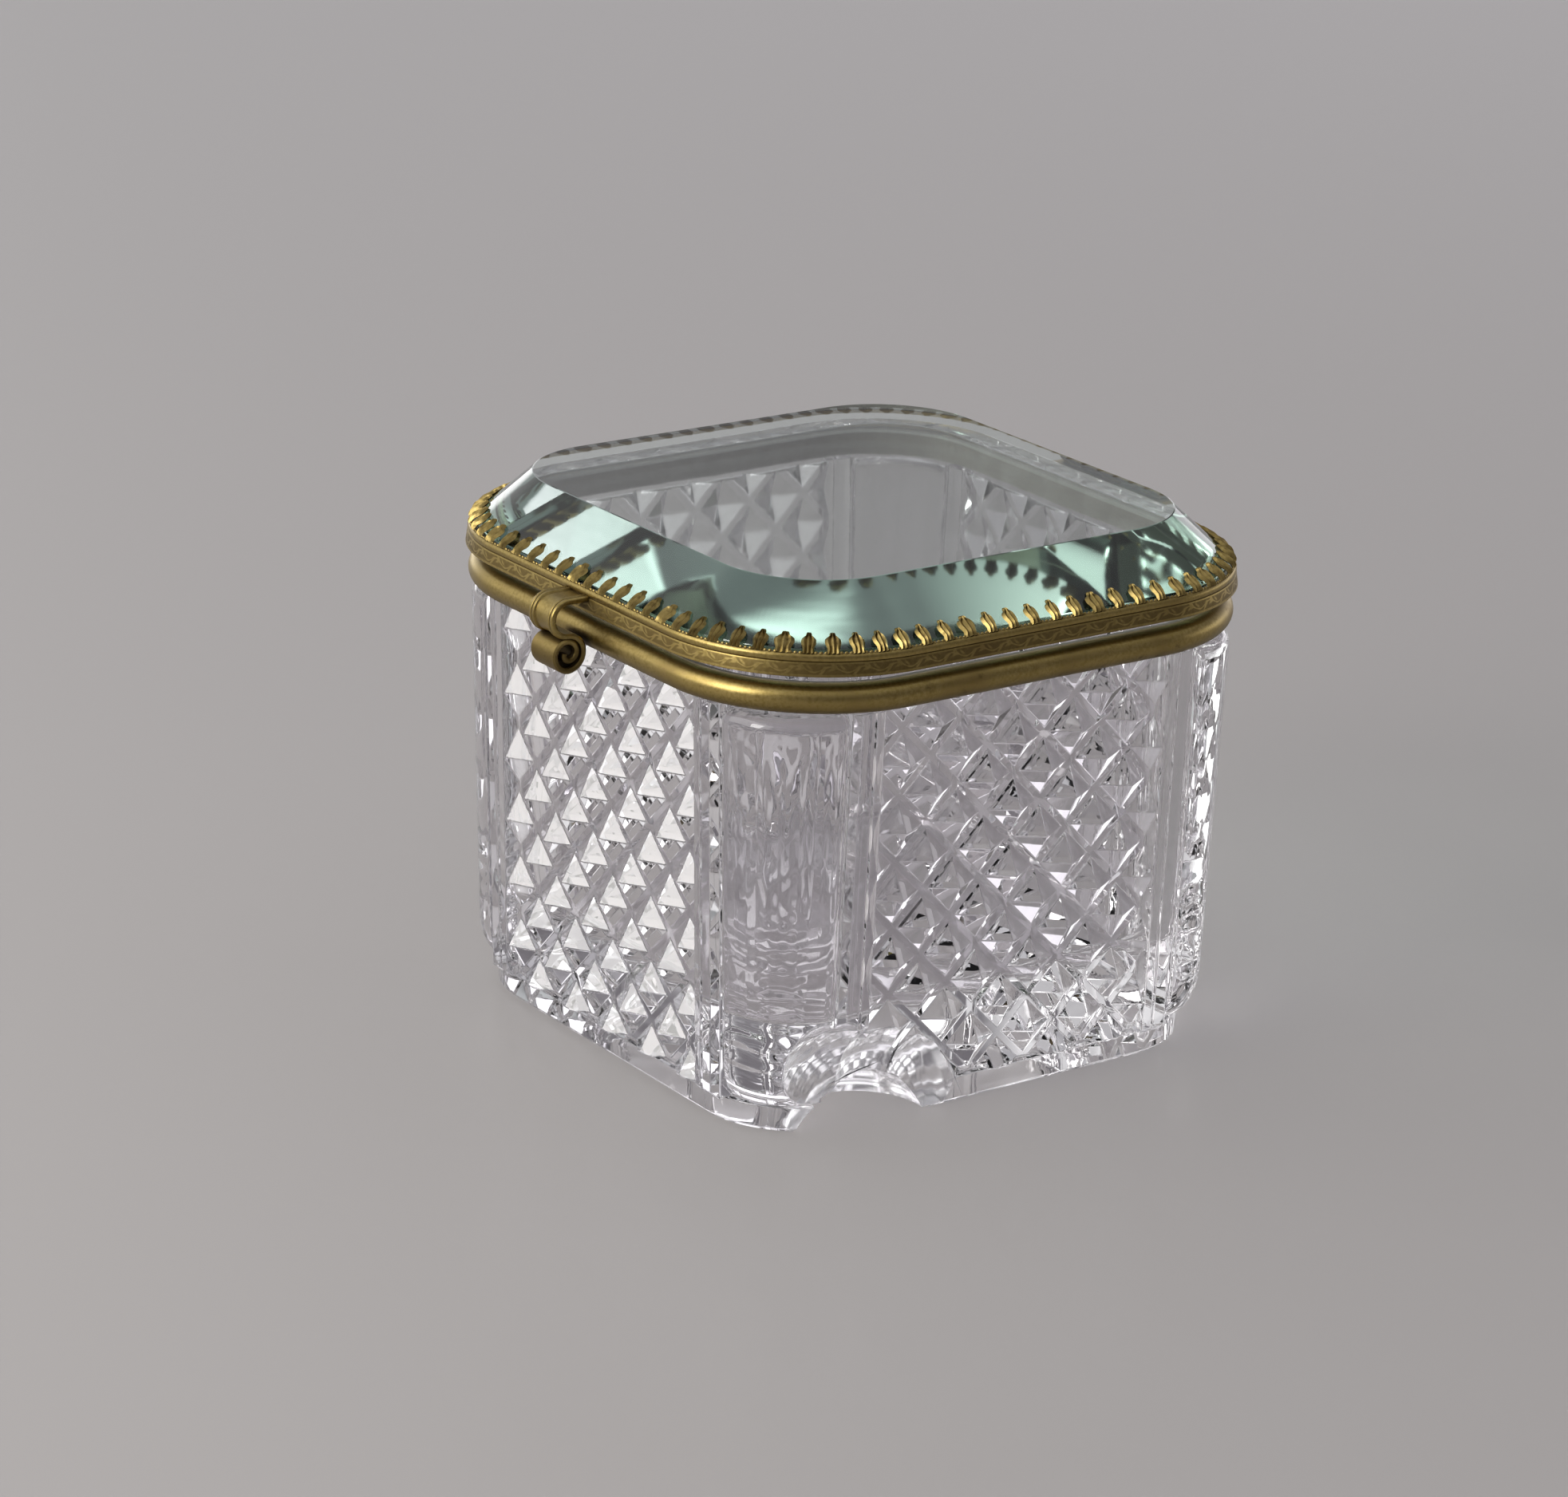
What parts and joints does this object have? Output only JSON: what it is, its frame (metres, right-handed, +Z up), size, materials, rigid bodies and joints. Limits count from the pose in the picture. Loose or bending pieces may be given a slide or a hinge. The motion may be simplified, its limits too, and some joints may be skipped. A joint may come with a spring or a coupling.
{
  "type": "glass casket box",
  "caption": "Square casket of thick diamond-cut clear glass with a brass collar and a hinged, bevelled glass lid held by folded brass prongs; a scrolled strap clasp hooks over the collar.",
  "frame": {"origin": "middle of the foot's underside, on the surface the casket stands on", "axes": "+Z up, -Y towards the clasp at the front, +X to the right seen from the front; the hinge is at the back, +Y"},
  "size_m": [0.1232, 0.1366, 0.104],
  "materials": {
    "body_glass": "polished pressed glass, clear with a faint lilac-grey tint",
    "lid_glass": "polished plate glass, clear with a faint green tint in the bevel",
    "gilt_brass": "worn satin gilding over stamped brass, darker in the recesses",
    "cement": "matt off-white plaster cement"
  },
  "bodies": {
    "base": {"glass_body": "body_glass", "rim_cement": "cement", "collar_sleeve": "gilt_brass", "collar_bead": "gilt_brass", "base_hinge_leaf": "gilt_brass", "base_knuckle_left": "gilt_brass", "base_knuckle_middle": "gilt_brass", "base_knuckle_right": "gilt_brass", "hinge_pin": "gilt_brass"},
    "lid": {"lid_glass": "lid_glass", "glass_bedding": "cement", "lid_ring": "gilt_brass", "gallery_strip": "gilt_brass", "clasp_strap": "gilt_brass", "lid_hinge_leaf": "gilt_brass", "lid_knuckle_left": "gilt_brass", "lid_knuckle_right": "gilt_brass"}
  },
  "joints": [
    {"name": "lid_hinge", "type": "hinge", "parent": "base", "child": "lid", "pos_m": [0, 0.0636, 0.0889], "axis": [-1, 0, 0], "range_deg": [0, 105]}
  ]
}
